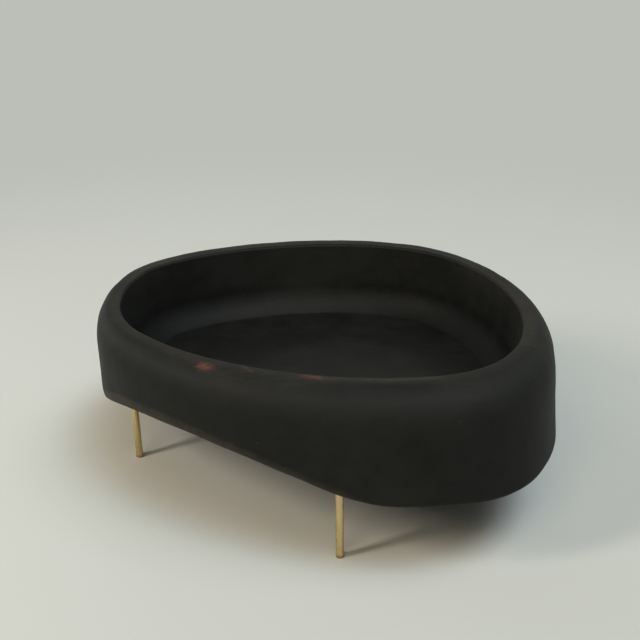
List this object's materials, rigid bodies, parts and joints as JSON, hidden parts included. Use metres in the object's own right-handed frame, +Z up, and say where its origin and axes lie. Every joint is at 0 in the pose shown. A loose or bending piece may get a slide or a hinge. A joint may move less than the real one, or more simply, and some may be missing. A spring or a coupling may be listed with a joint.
{
  "type": "wooden bowl",
  "caption": "Low hand-carved wooden bowl, pebble-shaped from above, thick-walled and matte black, with an undercut front edge, standing on slim brass rod legs.",
  "frame": {"origin": "on the standing surface, under the middle of the bowl's plan", "axes": "+Z up, +X to the viewer's right in the picture, +Y away from the viewer; the front of the bowl, with the undercut at its left, faces -Y"},
  "size_m": [0.2412, 0.217, 0.0955],
  "materials": {
    "bowl_body": "stained or charred black, matte, with tool marks and worn spots",
    "leg_left": "bare drawn rod, lightly tarnished",
    "leg_front": "bare drawn rod, lightly tarnished",
    "leg_rear": "bare drawn rod, lightly tarnished"
  },
  "bodies": {
    "root": {"bowl_body": "bowl_body", "leg_left": "leg_left", "leg_front": "leg_front", "leg_rear": "leg_rear"}
  },
  "joints": []
}
